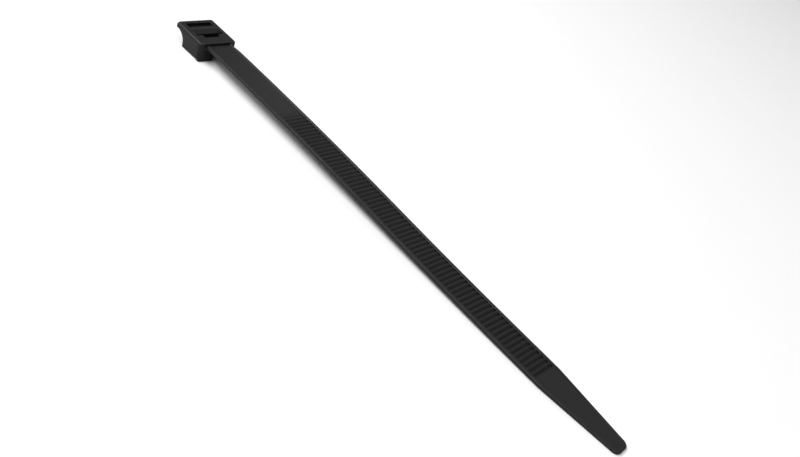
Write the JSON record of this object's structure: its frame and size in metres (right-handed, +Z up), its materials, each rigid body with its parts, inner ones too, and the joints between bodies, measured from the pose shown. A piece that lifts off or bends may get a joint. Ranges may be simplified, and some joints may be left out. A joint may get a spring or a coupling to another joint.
{
  "type": "cable tie",
  "caption": "Broad moulded cable tie: low rectangular head with rear window, strap slot and integral pawl, on a long toothed strap with raised edge rails and a tapered rounded tip.",
  "frame": {"origin": "centre of the bounding box in plan, on the floor the tie lies on", "axes": "+X from the head to the tip, +Y across the strap, +Z up, toothed face upward"},
  "size_m": [0.2428, 0.0182, 0.0083],
  "materials": {
    "nylon": "satin black moulded nylon"
  },
  "bodies": {
    "root": {"cable_tie": "nylon"}
  },
  "joints": []
}
